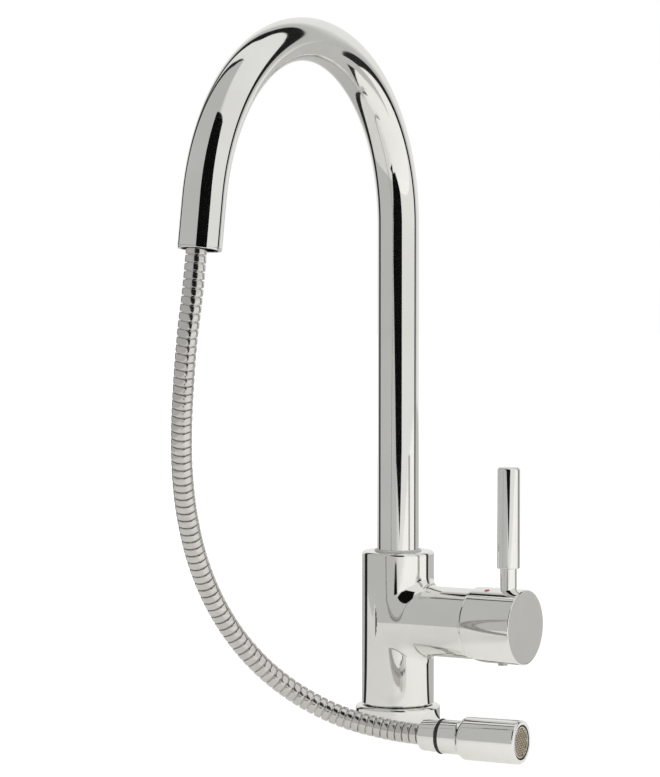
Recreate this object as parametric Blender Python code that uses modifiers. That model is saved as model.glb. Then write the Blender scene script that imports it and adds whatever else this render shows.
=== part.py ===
"""Pull-down kitchen faucet: a deck-mounted mixer body with a side lever, a swivelling
gooseneck spout, and a spray head on a metal hose that has been pulled out of the spout.

Frame: metres, +Z up. The origin is the centre of the base on the deck, the spout reaches
towards -Y and the lever stands on the +X side.
"""

import math

import bmesh
import bpy
from mathutils import Vector

# Driving dimensions, in metres.
GAP = 0.0003                      # kept between touching pieces

TUBE_R = 0.0140                   # spout tube, outside
TUBE_WALL = 0.0012
ARCH_R = 0.1213                   # centreline of the gooseneck
ARCH_Z = 0.3353                   # height of the arch's centre
OUTLET_TILT = math.radians(9.5)   # the outlet leans away from the column
OUTLET_LEG = 0.0305               # straight stretch behind the outlet

BASE_R = 0.0285
BASE_TOP = 0.0116
BODY_R = 0.0243
BODY_TOP = 0.1156
SPIGOT_R = 0.0220                 # the body's foot inside the base
SPOUT_BORE_R = 0.0159
SPOUT_BORE_FLOOR = 0.0840
HOSE_BORE_R = 0.0105

BRANCH_Z = 0.0694                 # axis of the side branch, along +X
BRANCH_R = 0.0235
BRANCH_END = 0.0606
CHAMBER_R = 0.0182
CHAMBER_FLOOR = 0.0342
THREAD_R = 0.0205
THREAD_START = 0.0500
PORTS = ((0.0115, 0.0040), (-0.0115, 0.0040), (0.0, -0.0080))   # y, height above the axis
PORT_R = 0.0028

PIVOT_X = 0.0610                  # the lever tips about this point on the branch's axis
CAP_R = 0.0251
CAP_END = 0.0977
CAP_SKIRT_R = 0.02425
CAP_FLOOR = 0.0765
RELIEF_X = 0.0750                 # the cap's skirt is cut back from here on its underside
RELIEF_R = 0.0161
STEM_R = 0.0040
HANDLE_X = 0.0846
GRIP_R = 0.0077
NECK_R = 0.0056
GRIP_TOP = 0.1756
SET_SCREW_X = 0.0805
MARK_X = 0.0726
MARK_TURN = math.radians(17.6)    # each temperature mark, from the top of the cap

HOSE_R = 0.0067
HOSE_OFFSET = 0.0035              # the hose leans on the outer side of the outlet
HEAD_TIP = Vector((0.1615, -0.1247, 0.0142))
HEAD_TURN = math.radians(3.0)     # the spray head's direction on the deck, from +X
HEAD_LENGTH = 0.0700
HOSE_IN_COLLAR = 0.0035           # how far the hose reaches into the spray head's collar

# The free hose between the outlet and the spray head.
HOSE_ROUTE = (
    (-0.0010, -0.2525, 0.2990),
    (-0.0050, -0.2525, 0.2710),
    (-0.0100, -0.2490, 0.2430),
    (-0.0160, -0.2423, 0.2140),
    (-0.0217, -0.2330, 0.1847),
    (-0.0257, -0.2212, 0.1555),
    (-0.0268, -0.2078, 0.1268),
    (-0.0238, -0.1930, 0.0992),
    (-0.0160, -0.1777, 0.0740),
    (-0.0026, -0.1627, 0.0520),
    (0.0163, -0.1489, 0.0346),
    (0.0402, -0.1378, 0.0223),
    (0.0683, -0.1308, 0.0160),
)

ALONG_X = (0.0, math.pi / 2, 0.0)         # turns a piece's own +Z to +X
ALONG_Y = (-math.pi / 2, 0.0, 0.0)        # turns a piece's own +Z to +Y
ALONG_HEAD = (0.0, math.pi / 2, HEAD_TURN)

# Colour (linear), metallic and roughness of each finish.
FINISHES = {
    "polished_chrome": ((0.72, 0.73, 0.73), 1.0, 0.05),
    "machined_brass": ((0.60, 0.44, 0.20), 1.0, 0.30),
    "stainless_steel": ((0.56, 0.56, 0.55), 1.0, 0.25),
    "hose_steel": ((0.62, 0.61, 0.60), 1.0, 0.18),
    "white_acetal": ((0.75, 0.75, 0.73), 0.0, 0.45),
    "grey_nylon": ((0.30, 0.31, 0.32), 0.0, 0.55),
    "black_rubber": ((0.02, 0.02, 0.02), 0.0, 0.60),
    "alumina_ceramic": ((0.82, 0.81, 0.78), 0.0, 0.25),
    "aerator_mesh": ((0.36, 0.32, 0.28), 1.0, 0.40),
    "red_plastic": ((0.55, 0.02, 0.05), 0.0, 0.30),
    "blue_plastic": ((0.02, 0.09, 0.50), 0.0, 0.30),
}


def clear_scene():
    for item in list(bpy.data.objects):
        bpy.data.objects.remove(item, do_unlink=True)


def new_collection(name):
    collection = bpy.data.collections.new(name)
    bpy.context.scene.collection.children.link(collection)
    return collection


clear_scene()
parts = new_collection("pull_down_kitchen_faucet")
cutters = new_collection("cutters")


def finish(name):
    """The named finish as a Principled material, made once."""
    if name in bpy.data.materials:
        return bpy.data.materials[name]
    colour, metallic, roughness = FINISHES[name]
    material = bpy.data.materials.new(name)
    material.use_nodes = True
    shader = material.node_tree.nodes["Principled BSDF"]
    shader.inputs["Base Color"].default_value = (*colour, 1.0)
    shader.inputs["Metallic"].default_value = metallic
    shader.inputs["Roughness"].default_value = roughness
    return material


def add_object(name, data, material=None):
    """Link a mesh or curve as a part, or as a cutter when it has no material."""
    item = bpy.data.objects.new(name, data)
    if material:
        parts.objects.link(item)
        data.materials.append(finish(material))
    else:
        cutters.objects.link(item)
        item.hide_render = True
        item.display_type = "WIRE"
    return item


def place(item, position, rotation=(0.0, 0.0, 0.0), joint=None):
    """Put a piece at a world position, under its joint's empty if it moves."""
    item.location = Vector(position)
    item.rotation_euler = rotation
    if joint:
        item.parent = joint
        item.location = Vector(position) - world_place[joint.name]
    return item


world_place = {}


def add_joint(name, position, parent=None):
    """An empty on a joint's axis, which the pieces that move with it hang from."""
    empty = bpy.data.objects.new(name, None)
    empty.empty_display_size = 0.02
    parts.objects.link(empty)
    place(empty, position, joint=parent)
    world_place[name] = Vector(position)
    return empty


def smooth(item, degrees=35.0):
    item.data.shade_smooth()
    item.data.set_sharp_from_angle(angle=math.radians(degrees))


def turned(name, profile, material=None, closed=False, steps=24):
    """A profile of (radius, height) turned about Z; its outer side runs top to bottom."""
    mesh = bpy.data.meshes.new(name)
    count = len(profile)
    edges = [(i, i + 1) for i in range(count - 1)]
    if closed:
        edges.append((count - 1, 0))
    mesh.from_pydata([(r, 0.0, z) for r, z in profile], edges, [])
    item = add_object(name, mesh, material)
    screw = item.modifiers.new("turn", "SCREW")
    screw.axis = "Z"
    screw.angle = 2 * math.pi
    screw.steps = steps
    screw.render_steps = steps
    screw.use_merge_vertices = True
    screw.merge_threshold = 0.00001
    screw.use_smooth_shade = True
    return item


def ring(name, outer_r, inner_r, low, high, material=None, steps=24):
    """A plain washer or sleeve."""
    profile = [(outer_r, high), (outer_r, low), (inner_r, low), (inner_r, high)]
    return turned(name, profile, material, closed=True, steps=steps)


def disc(name, radius, low, high, material=None, steps=24):
    """A plain cylinder, between two heights."""
    profile = [(0.0, high), (radius, high), (radius, low), (0.0, low)]
    return turned(name, profile, material, steps=steps)


def arc(centre_r, centre_z, radius, start, end, count):
    """Points on an arc in the profile plane; angles in degrees, 0 along +r, 90 along +z."""
    points = []
    for i in range(count + 1):
        angle = math.radians(start + (end - start) * i / count)
        points.append((centre_r + radius * math.cos(angle), centre_z + radius * math.sin(angle)))
    return points


def boolean(item, cutter, operation="DIFFERENCE"):
    modifier = item.modifiers.new(cutter.name, "BOOLEAN")
    modifier.operation = operation
    modifier.solver = "EXACT"
    modifier.object = cutter


def box(name, low, high):
    """A box cutter between two corners."""
    mesh = bpy.data.meshes.new(name)
    form = bmesh.new()
    bmesh.ops.create_cube(form, size=1.0)
    size = [high[i] - low[i] for i in range(3)]
    centre = [(high[i] + low[i]) / 2 for i in range(3)]
    bmesh.ops.scale(form, vec=size, verts=form.verts)
    bmesh.ops.translate(form, vec=centre, verts=form.verts)
    form.to_mesh(mesh)
    form.free()
    return add_object(name, mesh)


def path_curve(name, points, radius, resolution, caps):
    """A round bar or an open tube wall along a list of points."""
    curve = bpy.data.curves.new(name, "CURVE")
    curve.dimensions = "3D"
    curve.bevel_depth = radius
    curve.bevel_resolution = resolution
    curve.use_fill_caps = caps
    spline = curve.splines.new("POLY")
    spline.points.add(len(points) - 1)
    for point, place_of_point in zip(spline.points, points):
        point.co = (*place_of_point, 1.0)
    return curve


def as_mesh(name, curve, merge=0.0):
    """A curve's evaluated mesh; its caps are welded to its wall."""
    holder = bpy.data.objects.new(name + "_curve", curve)
    cutters.objects.link(holder)
    bpy.context.view_layer.update()
    evaluated = holder.evaluated_get(bpy.context.evaluated_depsgraph_get())
    mesh = bpy.data.meshes.new_from_object(evaluated)
    mesh.name = name
    bpy.data.objects.remove(holder, do_unlink=True)
    if merge:
        form = bmesh.new()
        form.from_mesh(mesh)
        bmesh.ops.remove_doubles(form, verts=form.verts, dist=merge)
        form.to_mesh(mesh)
        form.free()
    return mesh


def smooth_path(points, spacing):
    """Points along a Catmull-Rom curve through the given ones, ends included."""
    points = [Vector(p) for p in points]
    padded = [2 * points[0] - points[1], *points, 2 * points[-1] - points[-2]]
    result = []
    for a, b, c, d in zip(padded, padded[1:], padded[2:], padded[3:]):
        count = max(1, round((c - b).length / spacing))
        for i in range(count):
            t = i / count
            result.append(0.5 * (2 * b + (c - a) * t + (2 * a - 5 * b + 4 * c - d) * t ** 2
                                 + (3 * b - 3 * c + d - a) * t ** 3))
    result.append(points[-1])
    return result


def arch_point(angle):
    """A point of the spout's centreline on the arch; 0 is over the column."""
    return Vector((0.0, ARCH_R * (math.cos(angle) - 1), ARCH_Z + ARCH_R * math.sin(angle)))


outlet_way = Vector((0.0, -math.sin(OUTLET_TILT), -math.cos(OUTLET_TILT)))
outlet_side = Vector((0.0, -math.cos(OUTLET_TILT), math.sin(OUTLET_TILT)))
arch_sweep = math.pi - OUTLET_TILT
outlet_end = arch_point(arch_sweep) + OUTLET_LEG * outlet_way
ALONG_OUTLET = (math.pi - OUTLET_TILT, 0.0, 0.0)   # turns a piece's own +Z to the outlet's way

head_way = Vector((math.cos(HEAD_TURN), math.sin(HEAD_TURN), 0.0))
head_start = HEAD_TIP - HEAD_LENGTH * head_way
branch_origin = Vector((0.0, 0.0, BRANCH_Z))
pivot = Vector((PIVOT_X, 0.0, BRANCH_Z))


# --- Base ---------------------------------------------------------------------------------

def make_base():
    top = arc(BASE_R - 0.0022, BASE_TOP - 0.0022, 0.0022, 90, 0, 4)
    profile = [(SPIGOT_R + GAP, BASE_TOP), *top, (BASE_R, 0.0004), (BASE_R - 0.0004, 0.0),
               (0.0243, 0.0), (0.0243, 0.0023), (SPIGOT_R + GAP, 0.0023)]
    turned("base_flange", profile, "polished_chrome", closed=True, steps=40)
    ring("base_seal", 0.0240, 0.0212, 0.0, 0.0020, "black_rubber", steps=30)


# --- Mixer body ---------------------------------------------------------------------------

def make_body():
    foot = BASE_TOP + GAP
    top = arc(BODY_R - 0.0018, BODY_TOP - 0.0018, 0.0018, 90, 0, 4)
    bottom = arc(BODY_R - 0.0010, foot + 0.0010, 0.0010, 0, -90, 3)
    profile = [(SPOUT_BORE_R, BODY_TOP), *top, *bottom, (SPIGOT_R, foot), (SPIGOT_R, 0.0023),
               (HOSE_BORE_R, 0.0023), (HOSE_BORE_R, SPOUT_BORE_FLOOR),
               (SPOUT_BORE_R, SPOUT_BORE_FLOOR)]
    body = turned("mixer_body", profile, "polished_chrome", closed=True, steps=40)

    branch = disc("branch_form", BRANCH_R, 0.0170, BRANCH_END, steps=40)
    place(branch, branch_origin, ALONG_X)
    boolean(body, branch, "UNION")

    chamber = turned("chamber_cutter", [(0.0, 0.0700), (THREAD_R, 0.0700), (THREAD_R, THREAD_START),
                                        (CHAMBER_R, THREAD_START), (CHAMBER_R, CHAMBER_FLOOR),
                                        (0.0, CHAMBER_FLOOR)], steps=40)
    place(chamber, branch_origin, ALONG_X)
    boolean(body, chamber)

    riser_x = 0.0135
    outlet_x = 0.0160
    for number, (y, height) in enumerate(PORTS):
        x = outlet_x if y == 0 else riser_x
        passage = disc(f"passage_cutter_{number}", PORT_R, x, CHAMBER_FLOOR + 0.002, steps=16)
        place(passage, (0.0, y, BRANCH_Z + height), ALONG_X)
        boolean(body, passage)
        riser = disc(f"riser_cutter_{number}", PORT_R + 0.0002, -0.001, BRANCH_Z + height + 0.001, steps=16)
        place(riser, (x, y, 0.0))
        boolean(body, riser)

    screw_hole = turned("retaining_screw_cutter", [(0.0, 0.0270), (0.0035, 0.0270), (0.0035, 0.0207),
                                                   (0.0023, 0.0207), (0.0023, 0.0120), (0.0, 0.0120)],
                        steps=24)
    place(screw_hole, (0.0, 0.0, 0.0881), ALONG_Y)
    boolean(body, screw_hole)


def make_spout_bearing():
    profile = [(0.0143, 0.1167), (0.0152, 0.1167), (0.0156, 0.1163), (0.0156, 0.0930), (0.0143, 0.0930)]
    turned("swivel_bush", profile, "white_acetal", closed=True, steps=36)

    screw = turned("spout_retaining_screw", [(0.0, 0.0240), (0.0029, 0.0240), (0.0032, 0.0237),
                                             (0.0032, 0.0210), (0.0020, 0.0210), (0.0020, 0.0138),
                                             (0.0, 0.0138)], "stainless_steel", steps=24)
    place(screw, (0.0, 0.0, 0.0881), ALONG_Y)
    socket = disc("retaining_screw_socket", 0.0016, 0.0224, 0.0250, steps=6)
    place(socket, (0.0, 0.0, 0.0881), ALONG_Y)
    boolean(screw, socket)


# --- Cartridge ----------------------------------------------------------------------------

def drill_ports(item, radius, low, high):
    for number, (y, height) in enumerate(PORTS):
        drill = disc(f"{item.name}_port_{number}", radius, low - 0.001, high + 0.001, steps=16)
        place(drill, (0.0, y, BRANCH_Z + height), ALONG_X)
        boolean(item, drill)


def make_fixed_cartridge():
    """The pieces that stay still in the branch, from the chamber's floor outwards."""
    stack = (("cartridge_seal", 0.0174, 0.0345, 0.0362, "black_rubber"),
             ("cartridge_base", 0.0174, 0.0365, 0.0434, "white_acetal"),
             ("fixed_ceramic_disc", 0.0146, 0.0437, 0.0477, "alumina_ceramic"))
    for name, radius, low, high, material in stack:
        item = disc(name, radius, low, high, material)
        place(item, branch_origin, ALONG_X)
        drill_ports(item, 0.0022, low, high)

    housing = turned("cartridge_housing", [(0.0124, 0.0618), (0.0174, 0.0618), (0.0174, 0.0437),
                                           (0.0150, 0.0437), (0.0150, 0.0589), (0.0124, 0.0589)],
                     "white_acetal", closed=True)
    place(housing, branch_origin, ALONG_X)

    nut = turned("cartridge_nut", [(0.0126, 0.0642), (0.0199, 0.0642), (0.0202, 0.0600), (0.0202, 0.0503),
                                   (0.0177, 0.0503), (0.0177, 0.0621), (0.0126, 0.0621)],
                 "machined_brass", closed=True, steps=24)
    place(nut, branch_origin, ALONG_X)

    dome = turned("cartridge_dome", [(0.0127, 0.0703), (0.0170, 0.0703), (0.0196, 0.0694), (0.0218, 0.0679),
                                     (0.0234, 0.0654), (0.0234, 0.0609), (0.0205, 0.0609),
                                     (0.0205, 0.0645), (0.0127, 0.0645)],
                  "polished_chrome", closed=True, steps=36)
    place(dome, branch_origin, ALONG_X)


def make_rotor(joint):
    """The piece that turns with the lever and carries its hinge pin."""
    rotor = turned("cartridge_rotor", [(0.0, 0.0700), (0.0120, 0.0700), (0.0120, 0.0586), (0.0146, 0.0586),
                                       (0.0146, 0.0558), (0.0, 0.0558)], "grey_nylon")
    place(rotor, branch_origin, ALONG_X, joint)
    slot = box("rotor_slot_cutter", (0.0550, -0.0044, -0.0076), (0.0710, 0.0044, 0.0045))
    place(slot, branch_origin)
    boolean(rotor, slot)
    pin_hole = disc("rotor_pin_cutter", 0.0018, -0.0130, 0.0130, steps=16)
    place(pin_hole, pivot, ALONG_Y)
    boolean(rotor, pin_hole)

    pin = disc("lever_pin", 0.0015, -0.0114, 0.0114, "stainless_steel", steps=16)
    place(pin, pivot, ALONG_Y, joint)


def make_sliding_disc(joint):
    moving = disc("moving_ceramic_disc", 0.0120, 0.0480, 0.0512, "alumina_ceramic")
    place(moving, branch_origin, ALONG_X, joint)
    mixing_recess = box("mixing_recess_cutter", (0.0470, -0.0070, -0.0060), (0.0495, 0.0070, 0.0060))
    place(mixing_recess, branch_origin)
    boolean(moving, mixing_recess)

    carrier = ring("disc_carrier", 0.0122, 0.0027, 0.0515, 0.0555, "grey_nylon")
    place(carrier, branch_origin, ALONG_X, joint)


# --- Lever --------------------------------------------------------------------------------

def make_cap(joint):
    edge = arc(CAP_R - 0.0008, CAP_END - 0.0008, 0.0008, 90, 0, 3)
    profile = [(0.0, CAP_END), *edge, (CAP_R, PIVOT_X + 0.0003), (CAP_R - 0.0003, PIVOT_X),
               (CAP_SKIRT_R, PIVOT_X), (CAP_SKIRT_R, 0.0660), (0.0215, 0.0730), (0.0215, CAP_FLOOR),
               (STEM_R + GAP, CAP_FLOOR), (STEM_R + GAP, 0.0880), (0.0, 0.0880)]
    cap = turned("lever_cap", profile, "polished_chrome", steps=40)
    place(cap, branch_origin, ALONG_X, joint)
    boolean(cap, relief_cutter())

    handle_hole = turned("handle_cutter", [(0.0, 0.1000), (NECK_R + GAP, 0.1000), (NECK_R + GAP, 0.0920),
                                           (0.0033, 0.0920), (0.0033, 0.0838), (0.0, 0.0838)], steps=24)
    place(handle_hole, (HANDLE_X, 0.0, 0.0))
    boolean(cap, handle_hole)

    set_screw_hole = disc("set_screw_cutter", 0.0027, -0.0300, -0.0020, steps=16)
    place(set_screw_hole, (SET_SCREW_X, 0.0, BRANCH_Z))
    boolean(cap, set_screw_hole)

    for side, name in ((1, "hot_mark"), (-1, "cold_mark")):
        hole = disc(name + "_cutter", 0.0023, 0.0234, 0.0270, steps=16)
        place(hole, (MARK_X, 0.0, BRANCH_Z), (side * MARK_TURN, 0.0, 0.0))
        boolean(cap, hole)


def relief_cutter():
    """Cuts the skirt's underside back to a curve, so that the cap can tip."""
    bend_z = RELIEF_R - CAP_R
    outline = arc(RELIEF_X, bend_z, RELIEF_R, -90, -180, 9)
    outline += [(0.0550, bend_z), (0.0550, -0.0300), (RELIEF_X, -0.0300)]
    curve = bpy.data.curves.new("relief_cutter", "CURVE")
    curve.dimensions = "2D"
    curve.fill_mode = "BOTH"
    curve.extrude = 0.0300
    spline = curve.splines.new("POLY")
    spline.points.add(len(outline) - 1)
    for point, (x, z) in zip(spline.points, outline):
        point.co = (x, z, 0.0, 1.0)
    spline.use_cyclic_u = True
    cutter = add_object("relief_cutter", as_mesh("relief_cutter", curve, merge=0.000001))
    return place(cutter, branch_origin, (math.pi / 2, 0.0, 0.0))


def make_lever(joint):
    make_cap(joint)
    handle = turned("lever_handle", [(0.0, GRIP_TOP), (0.0055, GRIP_TOP - 0.0003), (0.0071, GRIP_TOP - 0.0011),
                                     (GRIP_R, GRIP_TOP - 0.0020), (GRIP_R, 0.1090), (0.0070, 0.1081),
                                     (NECK_R, 0.1076), (NECK_R, 0.0923), (0.0030, 0.0923),
                                     (0.0030, 0.0842), (0.0, 0.0842)], "polished_chrome", steps=28)
    place(handle, (HANDLE_X, 0.0, 0.0), joint=joint)

    screw = turned("lever_set_screw", [(0.0, -0.0044), (0.0024, -0.0044), (0.0024, -0.0254),
                                       (0.0032, -0.0254), (0.0032, -0.0262), (0.0029, -0.0265),
                                       (0.0, -0.0265)], "stainless_steel", steps=20)
    place(screw, (SET_SCREW_X, 0.0, BRANCH_Z), joint=joint)
    socket = disc("set_screw_socket", 0.0015, -0.0280, -0.0235, steps=6)
    place(socket, (SET_SCREW_X, 0.0, BRANCH_Z))
    boolean(screw, socket)

    stem = turned("cartridge_stem", [(0.0, 0.0876), (0.0036, 0.0876), (STEM_R, 0.0872), (STEM_R, 0.0585),
                                     (0.0017, 0.0570), (0.0017, 0.0559), (0.0022, 0.0546),
                                     (0.0022, 0.0534), (0.0014, 0.0522), (0.0, 0.0519)],
                  "stainless_steel", steps=24)
    place(stem, branch_origin, ALONG_X, joint)
    eye = disc("stem_eye_cutter", 0.0018, -0.0060, 0.0060, steps=16)
    place(eye, pivot, ALONG_Y)
    boolean(stem, eye)

    for side, name, material in ((1, "hot_mark", "red_plastic"), (-1, "cold_mark", "blue_plastic")):
        mark = disc(name, 0.0020, 0.0237, 0.0253, material, steps=16)
        place(mark, (MARK_X, 0.0, BRANCH_Z), (side * MARK_TURN, 0.0, 0.0), joint)


# --- Spout --------------------------------------------------------------------------------

def spout_path(start_z, steps):
    """The spout's centreline, from a height in the column to the outlet."""
    points = [Vector((0.0, 0.0, start_z))]
    points += [arch_point(arch_sweep * i / steps) for i in range(steps + 1)]
    points.append(outlet_end)
    return points


def make_spout_tube(joint):
    curve = path_curve("spout_tube", spout_path(0.0920, 18), TUBE_R, 7, False)
    item = add_object("spout_tube", as_mesh("spout_tube", curve), "polished_chrome")
    place(item, (0.0, 0.0, 0.0), joint=joint)
    wall = item.modifiers.new("wall", "SOLIDIFY")
    wall.thickness = TUBE_WALL
    wall.offset = -1.0
    wall.use_even_offset = True
    smooth(item)


def make_spout_ends(joint):
    foot = turned("spout_foot", [(0.0124, 0.1030), (0.0124, 0.0917), (0.0154, 0.0917), (0.0154, 0.0905),
                                 (0.0134, 0.0905), (0.0134, 0.0857), (0.0154, 0.0857), (0.0154, 0.0843),
                                 (0.0092, 0.0843), (0.0092, 0.1030)], "machined_brass", closed=True)
    place(foot, (0.0, 0.0, 0.0), joint=joint)

    bush = turned("outlet_bush", [(0.0117, 0.0013), (0.0135, 0.0013), (0.0138, 0.0010), (0.0138, 0.0003),
                                  (0.0125, 0.0003), (0.0125, -0.0280), (0.0117, -0.0280)],
                  "polished_chrome", closed=True, steps=28)
    place(bush, outlet_end, ALONG_OUTLET, joint)


def make_hose(joint):
    """The hidden run through the spout, then the free run that hangs from the outlet."""
    steps = 12
    leaning = HOSE_OFFSET / steps
    inner = [Vector((0.0, 0.0, 0.0012))]
    for i in range(steps + 1):
        angle = arch_sweep * i / steps
        outwards = Vector((0.0, math.cos(angle), math.sin(angle)))
        inner.append(arch_point(angle) + leaning * i * outwards)
    inner.append(outlet_end + HOSE_OFFSET * outlet_side - 2 * GAP * outlet_way)
    hidden = add_object("hose_in_spout", path_curve("hose_in_spout", inner, HOSE_R, 2, True), "hose_steel")
    place(hidden, (0.0, 0.0, 0.0), joint=joint)

    start = outlet_end + HOSE_OFFSET * outlet_side
    end = head_start + HOSE_IN_COLLAR * head_way
    route = smooth_path([start, *HOSE_ROUTE, head_start, end], 0.0160)
    free = add_object("hose", path_curve("hose", route, HOSE_R, 3, True), "hose_steel")
    place(free, (0.0, 0.0, 0.0), joint=joint)

    ferrule = turned("hose_ferrule", [(0.0032, 0.0080), (0.0068, 0.0080), (0.0068, 0.0059), (0.0049, 0.0059),
                                      (0.0049, 0.0038), (0.0032, 0.0038)], "machined_brass", closed=True)
    place(ferrule, head_start, ALONG_HEAD, joint)


# --- Spray head ---------------------------------------------------------------------------

def make_spray_head(joint):
    """Pieces about the head's own axis, in order from the hose to the aerator."""
    tip = HEAD_LENGTH
    collar = turned("spray_collar", [(0.0093, 0.0130), (0.0100, 0.0130), (0.0104, 0.0126),
                                     (0.0099, 0.0036), *arc(0.0078, 0.0020, 0.0020, 10, -90, 3),
                                     (0.0071, 0.0000), (0.0071, 0.0043), (0.0052, 0.0043),
                                     (0.0052, 0.0056), (0.0093, 0.0056)],
                    "polished_chrome", closed=True, steps=28)
    place(collar, head_start, ALONG_HEAD, joint)

    washer = ring("hose_washer", 0.0068, 0.0036, 0.0083, 0.0097, "black_rubber")
    place(washer, head_start, ALONG_HEAD, joint)

    seal = turned("collar_seal", arc(0.0103, 0.0142, 0.0010, 90, -210, 5), "black_rubber",
                  closed=True, steps=28)
    place(seal, head_start, ALONG_HEAD, joint)

    flare = [(0.0137, 0.0324), (0.0134, 0.0312), (0.0122, 0.0296), (0.0112, 0.0284), (0.0108, 0.0270)]
    shell = turned("spray_shell", [(0.0111, tip - 0.0004), (0.0115, tip), (0.0127, tip),
                                   *arc(0.0127, tip - 0.0013, 0.0013, 60, 0, 3), *flare,
                                   (0.0108, 0.0158), (0.0104, 0.0154), (0.0090, 0.0154),
                                   (0.0090, 0.0100), (0.0045, 0.0100), (0.0045, 0.0180),
                                   (0.0062, 0.0180), (0.0062, 0.0470), (0.0111, 0.0470)],
                   "polished_chrome", closed=True, steps=32)
    place(shell, head_start, ALONG_HEAD, joint)

    valve = ring("check_valve", 0.0059, 0.0025, 0.0183, 0.0320, "grey_nylon")
    place(valve, head_start, ALONG_HEAD, joint)

    aerator_washer = ring("aerator_washer", 0.0106, 0.0075, 0.0473, 0.0490, "black_rubber")
    place(aerator_washer, head_start, ALONG_HEAD, joint)

    housing = turned("aerator_housing", [(0.0099, tip - 0.0008), (0.0101, tip - 0.0004),
                                         (0.0103, tip - 0.0004), (0.0105, tip - 0.0008),
                                         (0.0105, 0.0640), (0.0108, 0.0635), (0.0108, 0.0493),
                                         (0.0085, 0.0493), (0.0085, 0.0510), (0.0099, 0.0510)],
                     "polished_chrome", closed=True, steps=28)
    place(housing, head_start, ALONG_HEAD, joint)

    core = ring("aerator_core", 0.0096, 0.0020, 0.0520, 0.0660, "grey_nylon")
    place(core, head_start, ALONG_HEAD, joint)

    mesh = disc("aerator_mesh", 0.0096, tip - 0.0020, tip - 0.0014, "aerator_mesh", steps=28)
    place(mesh, head_start, ALONG_HEAD, joint)


# --- Assembly -----------------------------------------------------------------------------

spout_swivel = add_joint("spout_swivel", (0.0, 0.0, BODY_TOP))
temperature = add_joint("temperature", pivot)
disc_slide = add_joint("disc_slide", pivot, temperature)
flow = add_joint("flow", pivot, temperature)
spray_swivel = add_joint("spray_swivel", head_start, spout_swivel)

make_base()
make_body()
make_spout_bearing()
make_fixed_cartridge()
make_rotor(temperature)
make_sliding_disc(disc_slide)
make_lever(flow)
make_spout_tube(spout_swivel)
make_spout_ends(spout_swivel)
make_hose(spout_swivel)
make_spray_head(spray_swivel)
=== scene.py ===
import math

import bmesh
import bpy
import numpy as np
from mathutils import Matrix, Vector


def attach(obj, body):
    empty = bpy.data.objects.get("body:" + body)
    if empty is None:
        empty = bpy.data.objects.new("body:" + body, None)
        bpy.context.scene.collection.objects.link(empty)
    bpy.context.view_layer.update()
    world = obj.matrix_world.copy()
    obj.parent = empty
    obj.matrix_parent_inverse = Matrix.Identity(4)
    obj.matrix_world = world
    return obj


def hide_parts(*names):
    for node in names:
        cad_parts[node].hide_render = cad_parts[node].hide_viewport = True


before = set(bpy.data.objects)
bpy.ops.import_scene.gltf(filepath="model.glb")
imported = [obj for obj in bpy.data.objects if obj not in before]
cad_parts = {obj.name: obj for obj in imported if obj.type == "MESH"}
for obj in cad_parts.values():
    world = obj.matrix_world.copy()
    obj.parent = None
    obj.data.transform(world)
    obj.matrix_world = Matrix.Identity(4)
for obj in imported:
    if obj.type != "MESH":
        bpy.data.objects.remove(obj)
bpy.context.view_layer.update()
scene = bpy.context.scene

alongX = (0.0, math.pi / 2, 0.0)


def deselectAll():
    if bpy.context.object and bpy.context.object.mode != "OBJECT":
        bpy.ops.object.mode_set(mode="OBJECT")
    bpy.ops.object.select_all(action="DESELECT")


def selectOnly(piece):
    deselectAll()
    piece.select_set(True)
    bpy.context.view_layer.objects.active = piece


def namedPiece(name):
    piece = bpy.context.object
    piece.name = name
    piece.data.name = name
    return piece


def applyModifier(piece, kind, **settings):
    selectOnly(piece)
    modifier = piece.modifiers.new(kind.lower(), kind)
    for name, value in settings.items():
        setattr(modifier, name, value)
    bpy.ops.object.modifier_apply(modifier=modifier.name)


def removePiece(piece):
    mesh = piece.data
    bpy.data.objects.remove(piece)
    bpy.data.meshes.remove(mesh)


def cutWith(piece, cutter, operation="DIFFERENCE"):
    applyModifier(piece, "BOOLEAN", object=cutter, operation=operation, solver="EXACT")
    removePiece(cutter)


def arcPoints(centreRadius, centreHeight, radius, start, end, count):
    # outline points along an arc, angles in degrees from the outline's outward side
    points = []
    for i in range(count + 1):
        angle = math.radians(start + (end - start) * i / count)
        points.append((centreRadius + radius * math.cos(angle), centreHeight + radius * math.sin(angle)))
    return points


def roundRing(piece, radius, height, rounding):
    # rolls over the one ring of edges at that radius and height
    bpy.ops.mesh.select_all(action="DESELECT")
    bpy.ops.mesh.select_mode(type="EDGE")
    editMesh = bmesh.from_edit_mesh(piece.data)
    for edge in editMesh.edges:
        onRing = all(
            abs(v.co.z - height) < 1e-5 and abs(math.hypot(v.co.x, v.co.y) - radius) < 1e-5
            for v in edge.verts
        )
        edge.select_set(onRing)
    bmesh.update_edit_mesh(piece.data)
    bpy.ops.mesh.bevel(offset=rounding, segments=6, affect="EDGES")
    bpy.ops.mesh.select_mode(type="VERT")


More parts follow.
